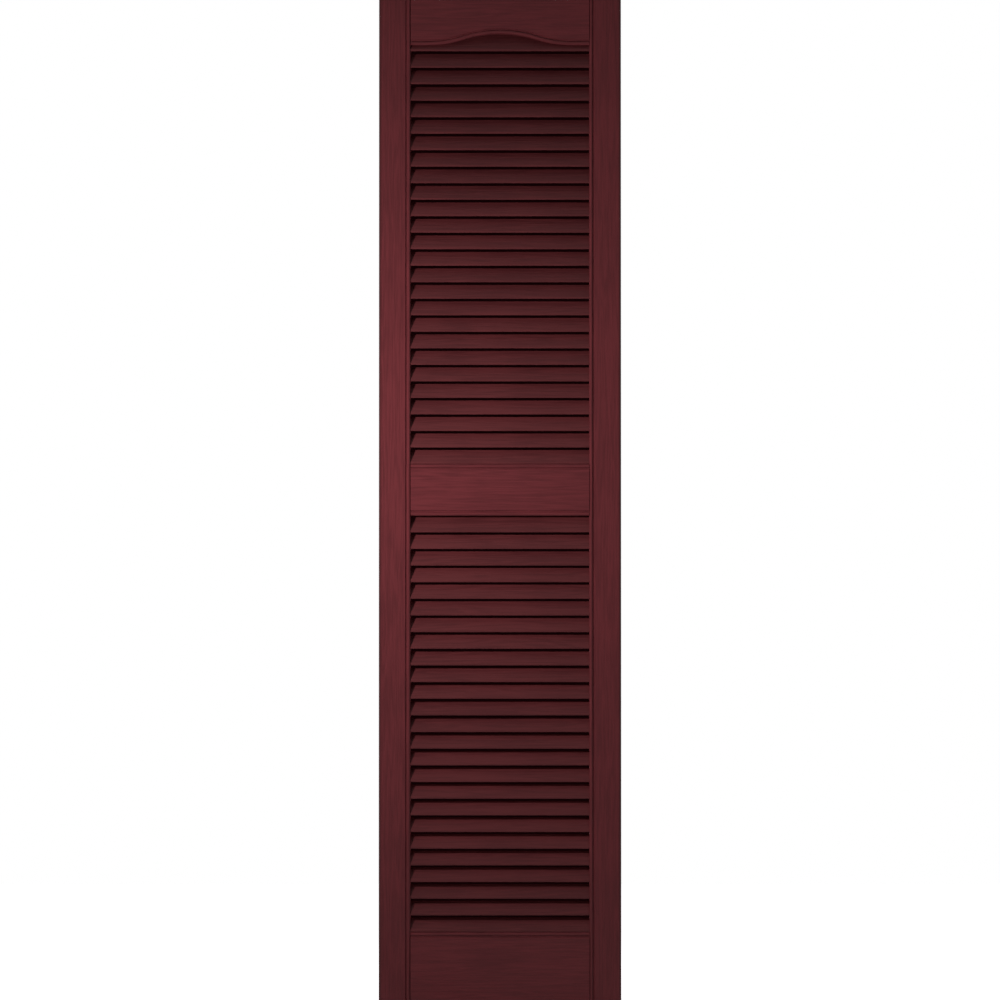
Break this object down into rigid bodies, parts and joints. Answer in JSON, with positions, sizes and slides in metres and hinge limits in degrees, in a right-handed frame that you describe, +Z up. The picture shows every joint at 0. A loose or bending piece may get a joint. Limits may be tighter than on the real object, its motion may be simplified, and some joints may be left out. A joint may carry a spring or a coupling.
{
  "type": "cathedral top louvered shutter",
  "caption": "Tall fixed exterior shutter: stiles and rails with a quirked bead, a cathedral arched top rail, a middle rail, and two banks of sloping louvers with open slots.",
  "frame": {"origin": "middle of the bottom edge of the back face, which lies against the wall", "axes": "+Z up along the shutter, +Y from the front towards the wall, +X to the right seen from the front"},
  "size_m": [0.3682, 0.0286, 1.524],
  "materials": {
    "frame_plastic": "satin burgundy plastic with an embossed wood grain along each piece",
    "louver_plastic": "satin burgundy plastic with an embossed wood grain along each louver"
  },
  "bodies": {
    "root": {"left_stile": "frame_plastic", "right_stile": "frame_plastic", "cathedral_top_rail": "frame_plastic", "mid_rail": "frame_plastic", "bottom_rail": "frame_plastic", "upper_louver_01": "louver_plastic", "upper_louver_02": "louver_plastic", "upper_louver_03": "louver_plastic", "upper_louver_04": "louver_plastic", "upper_louver_05": "louver_plastic", "upper_louver_06": "louver_plastic", "upper_louver_07": "louver_plastic", "upper_louver_08": "louver_plastic", "upper_louver_09": "louver_plastic", "upper_louver_10": "louver_plastic", "upper_louver_11": "louver_plastic", "upper_louver_12": "louver_plastic", "upper_louver_13": "louver_plastic", "upper_louver_14": "louver_plastic", "upper_louver_15": "louver_plastic", "upper_louver_16": "louver_plastic", "upper_louver_17": "louver_plastic", "upper_louver_18": "louver_plastic", "upper_louver_19": "louver_plastic", "upper_louver_20": "louver_plastic", "upper_louver_21": "louver_plastic", "upper_louver_22": "louver_plastic", "upper_louver_23": "louver_plastic", "upper_louver_24": "louver_plastic", "upper_louver_25": "louver_plastic", "upper_louver_26": "louver_plastic", "lower_louver_01": "louver_plastic", "lower_louver_02": "louver_plastic", "lower_louver_03": "louver_plastic", "lower_louver_04": "louver_plastic", "lower_louver_05": "louver_plastic", "lower_louver_06": "louver_plastic", "lower_louver_07": "louver_plastic", "lower_louver_08": "louver_plastic", "lower_louver_09": "louver_plastic", "lower_louver_10": "louver_plastic", "lower_louver_11": "louver_plastic", "lower_louver_12": "louver_plastic", "lower_louver_13": "louver_plastic", "lower_louver_14": "louver_plastic", "lower_louver_15": "louver_plastic", "lower_louver_16": "louver_plastic", "lower_louver_17": "louver_plastic", "lower_louver_18": "louver_plastic", "lower_louver_19": "louver_plastic", "lower_louver_20": "louver_plastic", "lower_louver_21": "louver_plastic", "lower_louver_22": "louver_plastic", "lower_louver_23": "louver_plastic", "lower_louver_24": "louver_plastic", "lower_louver_25": "louver_plastic"}
  },
  "joints": []
}
